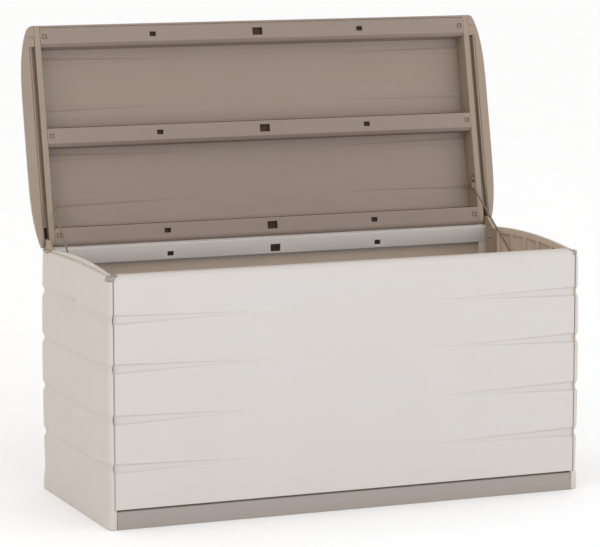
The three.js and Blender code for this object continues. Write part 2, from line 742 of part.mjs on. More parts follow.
// The lid's right-hand end as one block, with closer sections where its ends round over.
function lidEnd() {
  const bends = 6;
  const spans = 20;
  const rear = LID_REAR_ROUND - KNUCKLE;
  const front = LID_FRONT - LID_EDGE_ROUND;
  const stations = [];
  for (let i = 0; i < bends; i++) {
    stations.push(rear - LID_REAR_ROUND * Math.cos((i / bends) * (Math.PI / 2)));
  }
  for (let i = 0; i < spans; i++) {
    stations.push(rear + ((front - rear) * i) / spans);
  }
  for (let i = 0; i <= bends; i++) {
    stations.push(front + LID_EDGE_ROUND * Math.sin((i / bends) * (Math.PI / 2)));
  }
  return loft(stations.map(capRing));
}

// The hollow in a cap between two y values. Its outer wall leans in with the outer face.
function capHollow(rear, front, shrink) {
  const { inner, foot, head, floor, top } = CAP_CAVITY;
  const outline = [
    [inner + shrink, top - shrink],
    [inner + shrink, floor + shrink],
    [foot - shrink, floor + shrink],
    [head - shrink, top - shrink],
  ];
  return loft([rear, front].map((y) => outline.map(([x, z]) => [x, y, z])));
}

// Fingers that slide into the beams and snap into their square holes.
function snapFinger({ from, to, windows }) {
  const top = RIM + WEB + GAP;
  const inner = Math.max(from, 0) + WEB + 2;
  const outer = to - WEB - 2;
  const peg = SNAP.peg / 2;
  return join(
    block([CAP_INNER - SNAP.reach, CAP_INNER + 1], [-outer, -inner], [top, top + 9]),
    block([SNAP.x - peg, SNAP.x + peg], [-windows - peg, -windows + peg], [RIM, top + 1]),
  );
}

const clipScrewAt = { y: -STAY_LID_END.u - 19, z: STAY_LID_END.z + 3 };
const end = lidEnd();
const cornerX = [GROOVE.inner + GAP, CAP_MAX + 1];
const cornerY = [-LID_FRONT - 1, -CORNER_SEAM];
const aboveLid = 80;

function lidCap() {
  const grooveX = [GROOVE.inner, GROOVE.outer];
  const forward = -CORNER_SEAM - 1;
  const cornerSpace = block(
    [cornerX[0] - GAP, cornerX[1]],
    [cornerY[0], cornerY[1] + GAP],
    [RIM - 1, aboveLid],
  );
  return cut(
    join(end, ...Object.values(BEAMS).map(snapFinger)),
    cornerSpace,
    block(grooveX, [forward, -GROOVE.rear], [RIM - 1, RIM + GROOVE.depth]),
    block(grooveX, [-HINGE_SLOT.front, KNUCKLE + 1], [RIM - 1, HINGE_SLOT.top]),
    capHollow(-CAP_CAVITY.rear, forward, 0),
    barX(PIN_RADIUS + GAP, PIN.from - GAP, PIN.to + GAP, 0, 0),
    screwHole(clipScrewAt.y, clipScrewAt.z, CAP_INNER - 1, CAP_INNER + 9),
  );
}

// Corner blocks close the front ends of the caps, with a spigot in the cap's hollow.
function lidCorner() {
  const groove = block(
    [GROOVE.inner - 1, GROOVE.outer],
    [-CORNER_SEAM - 26, -CORNER_SEAM + 1],
    [RIM - 1, RIM + 6],
  );
  const { reach, root, clearance } = SPIGOT;
  const spigot = capHollow(-CORNER_SEAM + reach, -CORNER_SEAM - root, clearance);
  return join(cut(end.intersect(block(cornerX, cornerY, [RIM - 1, aboveLid])), groove), spigot);
}

// ---- Stay clips on the inner faces of the caps ----
const toLidFrame = (point) => lid.worldToLocal(point.clone());

function stayClip() {
  const face = CAP_INNER - GAP;
  const y = -STAY_LID_END.u;
  const { z } = STAY_LID_END;
  const bore = cordBetween(toLidFrame(stay.bodyEnd), toLidFrame(stay.lidEnd), STAY_BORE, 1);
  const clip = join(
    block([face - FITTING_PLATE, face], [y - 27, y + 9], [RIM + 1, z + 12]),
    block([face - 12, face], [y - 8, y + 8], [RIM + 1, z + 8]),
  );
  return cut(clip, bore, screwHole(clipScrewAt.y, clipScrewAt.z, face - 5, face + 1));
}
addPair(lid, "lid_cap", lidCap(), lidResin);
addPair(lid, "lid_corner", lidCorner(), lidResin);
addPair(lid, "stay_clip", stayClip(), trimResin);
const clipHead = CAP_INNER - 2 * GAP - FITTING_PLATE - SCREW.rise;
const clipScrew = screw(clipHead, clipScrewAt.y, clipScrewAt.z, SCREW_LENGTH.clip);
addPair(lid, "clip_screw", clipScrew, steel);
addPair(lid, "hinge_pin", barX(PIN_RADIUS, PIN.from, PIN.to, 0, 0), steel);

export default object;
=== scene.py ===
"""Looks of the deck storage box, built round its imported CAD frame.

Lengths are in mm until a mesh is made.
"""

import json
import math

import bmesh
import bpy
from mathutils import Matrix, Vector


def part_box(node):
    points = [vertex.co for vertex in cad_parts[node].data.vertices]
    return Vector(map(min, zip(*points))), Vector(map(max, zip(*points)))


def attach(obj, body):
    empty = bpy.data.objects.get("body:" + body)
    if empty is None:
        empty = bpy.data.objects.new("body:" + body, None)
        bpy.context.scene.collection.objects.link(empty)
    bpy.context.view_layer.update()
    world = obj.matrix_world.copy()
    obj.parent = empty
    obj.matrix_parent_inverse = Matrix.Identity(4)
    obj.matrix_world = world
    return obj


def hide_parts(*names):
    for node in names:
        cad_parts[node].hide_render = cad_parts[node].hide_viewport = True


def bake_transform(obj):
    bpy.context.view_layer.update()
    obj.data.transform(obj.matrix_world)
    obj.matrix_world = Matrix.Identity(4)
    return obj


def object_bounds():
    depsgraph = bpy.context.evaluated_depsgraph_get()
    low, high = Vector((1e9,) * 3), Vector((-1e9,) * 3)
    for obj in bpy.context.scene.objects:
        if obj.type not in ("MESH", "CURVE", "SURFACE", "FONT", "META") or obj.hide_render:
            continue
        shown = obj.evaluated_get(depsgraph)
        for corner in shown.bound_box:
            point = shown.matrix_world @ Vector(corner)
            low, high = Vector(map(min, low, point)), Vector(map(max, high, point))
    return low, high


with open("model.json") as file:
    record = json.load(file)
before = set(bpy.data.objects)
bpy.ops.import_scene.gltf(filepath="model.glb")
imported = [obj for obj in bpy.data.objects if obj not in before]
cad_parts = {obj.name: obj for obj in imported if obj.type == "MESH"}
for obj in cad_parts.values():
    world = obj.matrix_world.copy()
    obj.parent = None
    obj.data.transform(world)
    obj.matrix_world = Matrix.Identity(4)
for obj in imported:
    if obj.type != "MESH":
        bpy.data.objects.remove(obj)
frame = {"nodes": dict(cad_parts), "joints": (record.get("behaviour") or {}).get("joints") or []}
cad_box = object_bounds()

MM = 0.001
FIT = 0.3  # gap between neighbouring mouldings


def box_mm(node):
    lo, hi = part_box(node)
    return [c / MM for c in lo], [c / MM for c in hi]


# ---- Sizes taken from the frame ----
front_lo, front_hi = box_mm("front_panel")
side_lo, side_hi = box_mm("right_side_panel")
tray_lo, tray_hi = box_mm("floor_panel")
panel_hi = box_mm("lid_front_panel")[1]
cap_hi = box_mm("right_lid_cap")[1]
hinge = frame["joints"][0]
HINGE_Y, HINGE_Z = (c / MM for c in hinge["pos_m"][1:])
OPEN_ANGLE = math.radians(hinge["range_deg"][1])

DEPTH_HALF = side_hi[1]
WALL_FOOT, WALL_TOP = front_lo[2], front_hi[2]
LAP_END = front_hi[0]
LAP_START = LAP_END - 5
RAIL_DEPTH = front_hi[1] - front_lo[1]
SIDE_INNER, SIDE_OUTER = side_lo[0], side_hi[0]
LIP_CROWN = side_hi[2]
CAP_INNER = panel_hi[0] + FIT
CAP_MAX = cap_hi[0]

# ---- Walls ----
SKIN = 5
WEB = 4
LEVELS = (141, 253, 370, 482)
RELIEF = {"half": 12.5, "depth": 5, "length": 400}
BAND = (-1.3, -1, -0.92, -0.82, -0.72, -0.6, -0.3, 0, 0.3, 0.6, 0.72, 0.82, 0.92, 1, 1.3)
TOP_ROUND = 13
EDGE_ROUND = 3.6
RAIL_HEIGHT = 40
FOOT_RAIL = {"top": 16, "back": 17}
WINDOWS = ((-273, 16, 11), (0, 26, 18), (273, 16, 11))
WINDOW_DROP = 26
WINDOW_FLARE = 0.9
WINDOW_ROUND = 1.2
BACK_MARGIN = 5  # how far the blind back reaches past a window's edge
COLUMN = 22
FRONT_NOTCH, REAR_NOTCH = (30, 570), (55, 576)
CAP_SET_BACK = 5.4  # corner cap behind the front face

# ---- Side panels: heights fall off with the square of y ----
CORNER = 12
CORNER_LEAST = 4.2
CORNER_LAST = 3  # how far the corner's last section stays from the centre of its round
LIP = {"fall": 12.5, "half": 225}
SHOULDER = {"below": 10.7, "fall": 4.6, "round": 5}
SWELL = {"out": 4.2, "middle": 310, "half": 265}
FLARE = {"out": 4, "top": 42, "over": 14}
SIDE_GROOVE = {"half": 6.5, "widening": 8, "depth": 2.4, "from": 120, "over": 130}
POCKET = {"count": 5, "first": -196.5, "pitch": 71, "width": 62, "foot": 40, "under_lip": 15}
GRIP_BACKING = ((-20, 131), (427, 526))
GRIP_DEPTH = 13
GRIP_RUN = (
    (-15, 0.1),
    (-14, 0.6),
    (-12, 0.95),
    (-9, 1),
    (20, 1),
    (60, 0.85),
    (95, 0.55),
    (116, 0.25),
    (126, 0.06),
)

# ---- Floor tray ----
TRAY = {"height": 42, "wall": 5, "pad": 60, "long_ribs": (-85, 85), "cross_ribs": (-380, -190, 190, 380)}

# ---- Lid, in its own closed frame: u forward from the hinge, v up ----
RIM = -11
LID_FRONT = 521
LID_SPLIT = 254.5
LID_MID, LID_HALF = 255, 266
LID_INNER = 36
LID_CROWN = 5
LID_LEVELS = (95, 207, 326, 439)
LID_RELIEF = {"half": 10, "depth": 3.4}
BEAMS = {
    "front": {"from": 477, "to": 515.7, "flank": 467, "windows": 494.3},
    "mid": {"from": 236, "to": 273, "flank": 228, "windows": 254.3},
    "rear": {"from": 0, "to": 33.5, "flank": None, "windows": 14.5},
}
BEAM_CHAMFER = 8
BEAM_MITRE = 1.7
BEAM_SPACE = {"front": 503, "rear": -4}  # where the cut-off corners under the skin start
SNAP = {"x": 548, "hole": 11.4, "peg": 5.4}
CAP_TAPER = {"rear": 20, "front": 26.5}
CAP_NOSE = 7
CAP_RISE = 3
CAP_ROUND = {"front": 18, "rear": 12}
CAP_ROLL = {"inner": 566, "across": 38}
GROOVE = {"inner": 573.5, "outer": 585.5, "depth": 14, "rear_depth": 25}
GROOVE_REAR_END = 36
GROOVE_NARROWING = {"by": 1.7, "from": 70, "over": 30}
BLOCK_START = 470
BLOCK_STEP = 496

# ---- Hardware ----
SCREW = {"rise": 2.4, "radius": 4.5, "shank": 1.9, "cross": 2.3, "slot": 0.5}
STAY = {"radius": 2.25, "sections": 140, "sides": 18, "lay": 10}


# ---- Small helpers ----
def clamp(value, low=0.0, high=1.0):
    return max(low, min(high, value))


def smooth(value):
    t = clamp(value)
    return t * t * (3 - 2 * t)


def round_off(radius, past):
    """How far a round of a radius falls back, so far past where it starts."""
    return radius - math.sqrt(max(0, radius**2 - max(0, past) ** 2))


def between(start, end, count):
    """Values strictly between start and end."""
    return [start + (end - start) * i / (count + 1) for i in range(1, count + 1)]


def fillet(corners, steps=4):
    """A closed outline whose corners are rounded. Each corner is (a, b, radius)."""
    outline = []
    for i, (a, b, radius) in enumerate(corners):
        point = Vector((a, b))
        back = Vector(corners[i - 1][:2]) - point
        ahead = Vector(corners[(i + 1) % len(corners)][:2]) - point
        if not radius or back.length < 1e-3 or ahead.length < 1e-3:
            outline += [(a, b)] * (steps + 1 if radius else 1)
            continue
        half = back.angle(ahead) / 2
        reach = min(radius / math.tan(half), 0.45 * min(back.length, ahead.length))
        bisector = (back.normalized() + ahead.normalized()).normalized()
        centre = point + bisector * (reach / math.cos(half))
        first = point + back.normalized() * reach - centre
        last = point + ahead.normalized() * reach - centre
        turn = first.angle_signed(last)
        for k in range(steps + 1):
            outline.append(tuple(centre + Matrix.Rotation(-turn * k / steps, 2) @ first))
    return outline


def open_fillet(corners, steps=4):
    """The rounded corners of an open line. Its first and last corners only give the directions."""
    return fillet(corners, steps)[1:-1]


def rectangle(a, b, radius):
    """Corners of a rectangle between pairs of a and b, for fillet."""
    return [(a[0], b[0], radius), (a[1], b[0], radius), (a[1], b[1], radius), (a[0], b[1], radius)]


def rounded_box(x, y, z, radius=1.0):
    """A shell between pairs of x, y and z, rounded along x and at both ends."""
    shell = []
    for at, inset in ((x[0], radius), (x[0] + radius, 0), (x[1] - radius, 0), (x[1], radius)):
        corners = rectangle((y[0] + inset, y[1] - inset), (z[0] + inset, z[1] - inset), radius)
        shell.append([(at, a, b) for a, b in fillet(corners, 3)])
    return shell


def shift(shells, place):
    return [[[place(*point) for point in loop] for loop in shell] for shell in shells]


def add_shells(mesh, shells, index=0):
    """Adds closed shells to a mesh, each a list of rings of points. index is their material slot."""
    work = bmesh.new()
    work.from_mesh(mesh)
    for shell in shells:
        rings = [[work.verts.new(Vector(point) * MM) for point in loop] for loop in shell]
        faces = [work.faces.new(rings[0][::-1]), work.faces.new(rings[-1])]
        for a, b in zip(rings, rings[1:]):
            for i in range(len(a)):
                j = (i + 1) % len(a)
                faces.append(work.faces.new((a[i], a[j], b[j], b[i])))
        for face in faces:
            face.material_index = index
        bmesh.ops.remove_doubles(work, verts=[v for ring in rings for v in ring], dist=2e-6)
    bmesh.ops.recalc_face_normals(work, faces=work.faces)
    work.to_mesh(mesh)
    work.free()


def build(name, shells, sharp=32):
    """One mesh object from closed shells."""
    mesh = bpy.data.meshes.new(name)
    add_shells(mesh, shells)
    piece = bpy.data.objects.new(name, mesh)
    bpy.context.scene.collection.objects.link(piece)
    soften(piece, sharp)
    return piece


def extend(piece, shells, index=0):
    """Adds more closed shells to a piece."""
    add_shells(piece.data, shells, index)
    soften(piece)


def soften(piece, sharp=32):
    """Smooth shading that breaks at edges sharper than so many degrees."""
    piece.data.polygons.foreach_set("use_smooth", [True] * len(piece.data.polygons))
    piece.data.set_sharp_from_angle(angle=math.radians(sharp))


def settle(piece):
    """Applies the modifiers of a piece."""
    graph = bpy.context.evaluated_depsgraph_get()
    mesh = bpy.data.meshes.new_from_object(piece.evaluated_get(graph))
    old = piece.data
    piece.modifiers.clear()
    piece.data = mesh
    bpy.data.meshes.remove(old)
    soften(piece)


def carve(piece, shells, operation="DIFFERENCE"):
    """Cuts shells out of a piece, or joins them to it."""
    cutter = build(piece.name + "_cutter", shells)
    modifier = piece.modifiers.new("carve", "BOOLEAN")
    modifier.operation = operation
    modifier.solver = "EXACT"
    modifier.object = cutter
    settle(piece)
    mesh = cutter.data
    bpy.data.objects.remove(cutter)
    bpy.data.meshes.remove(mesh)


def finish_piece(piece, body, slot, material, *nodes):
    piece.data.materials.append(material)
    piece.data.materials.append(deep_shade)
    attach(piece, body)
    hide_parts(*nodes)
    return piece


def mirrored(piece, name):
    """A copy of a right-hand piece for the left."""
    copy = piece.copy()
    copy.name = name
    copy.data = piece.data.copy()
    copy.data.transform(Matrix.Scale(-1, 4, (1, 0, 0)))
    copy.data.flip_normals()
    bpy.context.scene.collection.objects.link(copy)
    return copy


def pair(piece, stem, body, slot, material, *nodes):
    """Finishes the right-hand piece and its mirror image."""
    left = mirrored(piece, "left_" + stem)
    finish_piece(piece, body, slot, material, *["right_" + n for n in nodes])
    finish_piece(left, body, slot, material, *["left_" + n for n in nodes])


# ---- Materials ----
def linear(r, g, b):
    """Linear colour with alpha from sRGB values of 0 to 255."""
    values = [c / 255 for c in (r, g, b)]
    return [c / 12.92 if c <= 0.04045 else ((c + 0.055) / 1.055) ** 2.4 for c in values] + [1]


def new_material(name):
    material = bpy.data.materials.new(name)
    material.use_nodes = True
    return material, material.node_tree.nodes, material.node_tree.links


def noise(nodes, links, vector, scale, detail=2.0, rough=0.5):
    node = nodes.new("ShaderNodeTexNoise")
    node.inputs["Scale"].default_value = scale
    node.inputs["Detail"].default_value = detail
    node.inputs["Roughness"].default_value = rough
    links.new(vector, node.inputs["Vector"])
    return node.outputs["Fac"]


def remap(nodes, links, value, low, high, start=0.3, end=0.7):
    node = nodes.new("ShaderNodeMapRange")
    node.inputs["From Min"].default_value = start
    node.inputs["From Max"].default_value = end
    node.inputs["To Min"].default_value = low
    node.inputs["To Max"].default_value = high
    links.new(value, node.inputs["Value"])
    return node.outputs["Result"]


def mix_color(nodes, links, factor, first, second, blend="MIX"):
    node = nodes.new("ShaderNodeMix")
    node.data_type = "RGBA"
    node.blend_type = blend
    for socket, value in ((node.inputs[0], factor), (node.inputs[6], first), (node.inputs[7], second)):
        if isinstance(value, bpy.types.NodeSocket):
            links.new(value, socket)
        else:
            socket.default_value = value
    return node.outputs[2]


def facing_in(nodes, links, place, height):
    """1 on faces turned towards the inside of the box below a height, 0 elsewhere: the mask of the painted
    bounce light.
    """
    level = nodes.new("ShaderNodeVectorMath")
    level.operation = "MULTIPLY"
    level.inputs[1].default_value = (1, 1, 0)
    links.new(place, level.inputs[0])
    turned = nodes.new("ShaderNodeVectorMath")
    turned.operation = "DOT_PRODUCT"
    links.new(level.outputs["Vector"], turned.inputs[0])
    links.new(nodes.new("ShaderNodeNewGeometry").outputs["True Normal"], turned.inputs[1])
    split = nodes.new("ShaderNodeSeparateXYZ")
    links.new(place, split.inputs[0])
    both = nodes.new("ShaderNodeMath")
    both.operation = "MULTIPLY"
    links.new(remap(nodes, links, turned.outputs["Value"], 1, 0, -0.08, -0.02), both.inputs[0])
    links.new(remap(nodes, links, split.outputs["Z"], 1, 0, height - 0.01, height), both.inputs[1])
    return both.outputs[0]


def resin(name, color, roughness=0.5, grain=0.12, tint=(1.0, 0.97, 0.93), shaded=None):
    """Injection-moulded resin: faint flow streaks and mottling, a fine spark-eroded grain.

    Below the height in shaded, in metres, faces turned inwards carry painted bounce light: a warm, brighter
    tint standing for light reflected inside the box.
    """
    material, nodes, links = new_material(name)
    shader = nodes["Principled BSDF"]
    place = nodes.new("ShaderNodeTexCoord").outputs["Object"]
    stretch = nodes.new("ShaderNodeMapping")
    stretch.inputs["Scale"].default_value = (0.9, 4, 9)
    links.new(place, stretch.inputs["Vector"])
    base = linear(*color)
    warm = [c * t for c, t in zip(base[:3], tint)] + [1]
    pale = [min(1, c * 1.05) for c in base[:3]] + [1]
    flow = remap(nodes, links, noise(nodes, links, stretch.outputs["Vector"], 2.2, 3), 0, 0.55)
    mottle = remap(nodes, links, noise(nodes, links, place, 7, 4, 0.6), 0, 0.4)
    speck = remap(nodes, links, noise(nodes, links, place, 420, 2), 0, 0.35)
    colored = mix_color(nodes, links, flow, base, warm)
    colored = mix_color(nodes, links, mottle, colored, pale)
    colored = mix_color(nodes, links, speck, colored, [c * 0.94 for c in base[:3]] + [1])
    if shaded:
        # painted bounce light: inward faces low in the box get a warm, brighter tint for light reflected
        # inside it
        painted_bounce_color = [c * t for c, t in zip(base[:3], (1.16, 1.03, 0.9))] + [1]
        colored = mix_color(nodes, links, facing_in(nodes, links, place, shaded), colored, painted_bounce_color)
    links.new(colored, shader.inputs["Base Color"])
    gloss = noise(nodes, links, place, 26, 5, 0.65)
    links.new(remap(nodes, links, gloss, roughness - 0.06, roughness + 0.08), shader.inputs["Roughness"])
    shader.inputs["Specular IOR Level"].default_value = 0.42
    fine = nodes.new("ShaderNodeBump")
    fine.inputs["Strength"].default_value = grain
    fine.inputs["Distance"].default_value = 0.0004
    links.new(noise(nodes, links, place, 950, 2), fine.inputs["Height"])
    wave = nodes.new("ShaderNodeBump")
    wave.inputs["Strength"].default_value = 0.25
    wave.inputs["Distance"].default_value = 0.0012
    links.new(noise(nodes, links, stretch.outputs["Vector"], 1.6, 2), wave.inputs["Height"])
    links.new(fine.outputs["Normal"], wave.inputs["Normal"])
    links.new(wave.outputs["Normal"], shader.inputs["Normal"])
    return material


def zinc(name):
    """Zinc-plated steel: faint yellowish mottling and fine turning marks."""
    material, nodes, links = new_material(name)
    shader = nodes["Principled BSDF"]
    shader.inputs["Metallic"].default_value = 1
    place = nodes.new("ShaderNodeTexCoord").outputs["Object"]
    patch = remap(nodes, links, noise(nodes, links, place, 600, 3), 0, 1)
    colored = mix_color(nodes, links, patch, linear(196, 192, 182), linear(168, 160, 142))
    links.new(colored, shader.inputs["Base Color"])
    links.new(remap(nodes, links, noise(nodes, links, place, 1400, 2), 0.28, 0.5), shader.inputs["Roughness"])
    return material


def cord_material(name):
    """Braided cord: crossing strands of two browns with a fibre fuzz."""
    material, nodes, links = new_material(name)
    shader = nodes["Principled BSDF"]
    place = nodes.new("ShaderNodeTexCoord").outputs["Object"]
    strands = nodes.new("ShaderNodeTexWave")
    strands.wave_type = "BANDS"
    strands.bands_direction = "DIAGONAL"
    strands.inputs["Scale"].default_value = 260
    strands.inputs["Distortion"].default_value = 1.5
    links.new(place, strands.inputs["Vector"])
    fibre = remap(nodes, links, noise(nodes, links, place, 2600, 2), 0, 0.5)
    colored = mix_color(nodes, links, strands.outputs["Fac"], linear(104, 86, 68), linear(134, 114, 94))
    colored = mix_color(nodes, links, fibre, colored, linear(84, 68, 52))
    links.new(colored, shader.inputs["Base Color"])
    shader.inputs["Roughness"].default_value = 0.85
    shader.inputs["Sheen Weight"].default_value = 0.3
    bump = nodes.new("ShaderNodeBump")
    bump.inputs["Strength"].default_value = 0.4
    bump.inputs["Distance"].default_value = 0.0004
    links.new(strands.outputs["Fac"], bump.inputs["Height"])
    links.new(bump.outputs["Normal"], shader.inputs["Normal"])
    return material


pale_resin = resin("pale_resin", (192, 186, 181), shaded=0.54)
side_resin = resin("pale_resin_side", (193, 186, 178), shaded=0.6)
lid_resin = resin("taupe_resin", (146, 129, 113), 0.5, 0.14)
# lid skins: a darker copy of the lid's taupe, painted shade for the lid's inner face; its higher roughness is
# the real matt finish
shaded_lid_skin_resin = resin("taupe_resin_matt_painted_shade", (142, 127, 115), 0.6, 0.2)
# beams: a darker copy of the lid's taupe, painted shade that dims the beam faces
shaded_beam_resin = resin("taupe_resin_beam_painted_shade", (137, 122, 111), 0.55, 0.18)
trim_resin = resin("grey_taupe_resin", (147, 138, 130), 0.46)
fitting_resin = resin("brown_resin", (156, 138, 120), 0.5)
clip_resin = resin("dark_brown_resin", (112, 92, 76), 0.5)
deep_shade = resin("deep_shade", (56, 37, 20), 0.7)
steel = zinc("zinc_plate")
braid = cord_material("braided_cord")


# ---- Front and back walls ----
def relief_scale(distance):
    """How much of a relief is left at a distance from the end where it starts."""
    return clamp(1 - distance / RELIEF["length"])


def relief_rows(low, high, distance):
    """(height, depth) of the rows of a face that crosses the reliefs, from low to high."""
    share = relief_scale(distance)
    half = max(RELIEF["half"] * share, 1.5)
    depth = RELIEF["depth"] * share**1.2
    rows = [(low, 0)]
    for level in LEVELS:
        band = [(level + k * half, depth * (1 - smooth((abs(k) - 0.6) / 0.4))) for k in BAND]
        rows += [(z, 0) for z in between(rows[-1][0], band[0][0], 3)] + band
    return rows + [(z, 0) for z in between(rows[-1][0], high, 3)] + [(high, 0)]


def wall_loop(x):
    """Closed section of a wall at x, as (inward, height)."""
    distance = LAP_END - abs(x)
    top, foot = WALL_TOP, WALL_FOOT
    back, web = RAIL_DEPTH, RAIL_DEPTH - WEB
    rail_foot = top - RAIL_HEIGHT
    ledge_top, ledge_back = foot + FOOT_RAIL["top"], FOOT_RAIL["back"]
    rows = relief_rows(foot + 3, top - 14, distance)
    inner_rows = relief_rows(ledge_top + 3, top - 14, distance)
    fade = smooth((552 - abs(x)) / 12)
    outer = [(depth, z) for z, depth in rows]
    inner = [(SKIN + depth * fade, z) for z, depth in reversed(inner_rows)]
    over = open_fillet([(0, foot, 0), (0, top, TOP_ROUND), (back, top, 3), (back, foot, 0)], 6)
    inside = open_fillet([(web, foot, 0), (web, top - WEB, 4), (SKIN, top - SKIN, 8), (SKIN, foot, 0)])
    edge = open_fillet([(back, top, 0), (back, rail_foot, 1.6), (web, rail_foot, 1.2), (web, top, 0)], 3)
    ledge = open_fillet(
        [
            (SKIN, top, 0),
            (SKIN, ledge_top, 2),
            (ledge_back, ledge_top, 1.5),
            (ledge_back, foot, 1),
            (0, foot, 1.6),
            (0, top, 0),
        ],
        3,
    )
    return outer + over + edge + inside + inner + ledge


def wall_stations(end):
    """x of the sections of a wall, closer together towards its ends."""
    near = [end - d for d in (0, 8, 20, 36, 56, 80, 110, 145, 185, 230, 280, 340, 400, 470)]
    return [-x for x in near] + between(-near[-1], near[-1], 1) + near[::-1]


def column_shells():
    """The closed columns at the ends of a wall, in (x, inward, height)."""
    shells = []
    for side in (-1, 1):
        ends = sorted((side * (LAP_START - COLUMN), side * LAP_START))
        heights = (WALL_FOOT + 15, WALL_TOP - 14)
        shells.append(rounded_box(ends, (4.5, RAIL_DEPTH - 0.2), heights, 1.2))
    return shells


def edge_round(x):
    """How far the front of a wall falls back at x, where its upright edge is rounded."""
    return round_off(EDGE_ROUND, abs(x) - (LAP_END - EDGE_ROUND))


def lap_shells(block_start, height):
    """The wall's ends: a block under the corner cap and the skin that laps over the side panel."""
    shells = []
    foot = WALL_FOOT + 0.5
    for side in (-1, 1):
        block = []
        for x in (block_start, LAP_START):
            outer = [(depth, z) for z, depth in relief_rows(foot, height, LAP_END - x)]
            block.append([(side * x, a, z) for a, z in outer + [(RAIL_DEPTH, height), (RAIL_DEPTH, foot)]])
        lap = []
        for x in (LAP_START, LAP_END - 3.4, LAP_END - 2, LAP_END - 1, LAP_END - 0.3, LAP_END):
            rows = relief_rows(foot, height, LAP_END - x)
            outer = [(depth + edge_round(x) * (1 - 0.7 * depth / RELIEF["depth"]), z) for z, depth in rows]
            inner = [(max(5.05, depth + 1.6), z) for z, depth in reversed(rows)]
            lap.append([(side * x, a, z) for a, z in outer + inner])
        shells += [block, lap] if block_start < LAP_START else [lap]
    return shells


def top_corner_shells(start):
    """The skin's rounded upper corners, in front of the corner caps."""
    shells = []
    centre = WALL_TOP - TOP_ROUND
    for side in (-1, 1):
        corner = []
        for along in (0, 2, 4, 6, 8, 10, 11.5, 12.7):
            x = start + along
            first = edge_round(x)
            rows = [(first, centre - FIT)]
            for a in (first, *between(first, SKIN, 5), SKIN):
                rise = TOP_ROUND**2 - (TOP_ROUND - a) ** 2 - (x - start) ** 2
                rows.append((a, centre + math.sqrt(max(0, rise))))
            corner.append([(side * x, a, z) for a, z in rows + [(SKIN, centre - FIT)]])
        shells.append(corner)
    return shells


def margins(at, size):
    """Both ends of a blind back behind a window of a size, along one axis."""
    return (at - size / 2 - BACK_MARGIN, at + size / 2 + BACK_MARGIN)


def rail_shade_backs():
    """Blind backs behind the windows in the rail, in the dark material of painted shade."""
    level = WALL_TOP - WINDOW_DROP
    deep = (RAIL_DEPTH - WEB - 7, RAIL_DEPTH - WEB - 4)
    return [rounded_box(margins(x, w), deep, margins(level, h), 0.8) for x, w, h in WINDOWS]


def window_outline(a, b, width, height, grow):
    """Outline of a window round its centre (a, b)."""
    w, h = width / 2 + grow, height / 2 + grow
    return fillet(rectangle((a - w, a + w), (b - h, b + h), WINDOW_ROUND), 2)


def window_shells():
    """Cutters for the row of windows in the rail, with a slight flare at the mouth."""
    level = WALL_TOP - WINDOW_DROP
    back = RAIL_DEPTH
    mouth = ((back - WEB - 2, 0), (back - 0.9, 0), (back + 0.2, WINDOW_FLARE), (back + 2, WINDOW_FLARE))
    shells = []
    for x, width, height in WINDOWS:
        outlines = [(a, window_outline(x, level, width, height, grow)) for a, grow in mouth]
        shells.append([[(b, a, c) for b, c in outline] for a, outline in outlines])
    return shells


def wall(name, node, place, main_end, block_start):
    section = [[(x, a, z) for a, z in wall_loop(x)] for x in wall_stations(main_end)]
    piece = build(name, shift([section], place))
    carve(piece, shift(window_shells(), place))
    extend(piece, shift(column_shells() + lap_shells(block_start, FRONT_NOTCH[1] - FIT), place))
    if block_start < LAP_START:
        extend(piece, shift(top_corner_shells(block_start), place))
    # the blind backs go in slot 1, the dark brown painted shade that makes the windows read as deep hollows
    extend(piece, shift(rail_shade_backs(), place), 1)
    return finish_piece(piece, "body", "body_resin", pale_resin, node)


def in_front(x, inward, z):
    return (x, inward - DEPTH_HALF, z)


def at_back(x, inward, z):
    return (-x, DEPTH_HALF - inward, z)


wall("front_wall", "front_panel", in_front, SIDE_INNER - 9, SIDE_INNER - 9)
wall("back_wall", "back_panel", at_back, LAP_START, LAP_START)


# ---- Side panels ----
def lip_height(y):
    return LIP_CROWN - LIP["fall"] * (y / LIP["half"]) ** 2


def shoulder_height(y):
    return LIP_CROWN - SHOULDER["below"] - SHOULDER["fall"] * (y / LIP["half"]) ** 2


def swell(z):
    """How far the side bows out at a height, with the flare at its foot."""
    bow = max(0, 1 - ((z - SWELL["middle"]) / SWELL["half"]) ** 2)
    flare = smooth((FLARE["top"] - z) / FLARE["over"])
    return SWELL["out"] * bow + FLARE["out"] * flare


def side_rows(y, shoulder):
    """(height, inset) of the rows of the outer face at y, up to its rounded shoulder."""
    nearness = smooth((abs(y) - SIDE_GROOVE["from"]) / SIDE_GROOVE["over"])
    half = SIDE_GROOVE["half"] + SIDE_GROOVE["widening"] * nearness
    depth = SIDE_GROOVE["depth"] + (RELIEF["depth"] - SIDE_GROOVE["depth"]) * nearness
    rows = [(1.2, 1.0), (2.2, 0.2), (4, 0)]
    for level in LEVELS:
        band = [(level + k * half, depth * max(0, 1 - k * k) ** 1.5) for k in BAND]
        rows += [(z, 0) for z in between(rows[-1][0], band[0][0], 4)] + band
    radius = SHOULDER["round"]
    rows += [(z, 0) for z in between(rows[-1][0], shoulder - radius, 3)]
    for k in range(6):
        turn = k * math.pi / 10
        rows.append((shoulder - radius + radius * math.sin(turn), radius - radius * math.cos(turn)))
    return rows


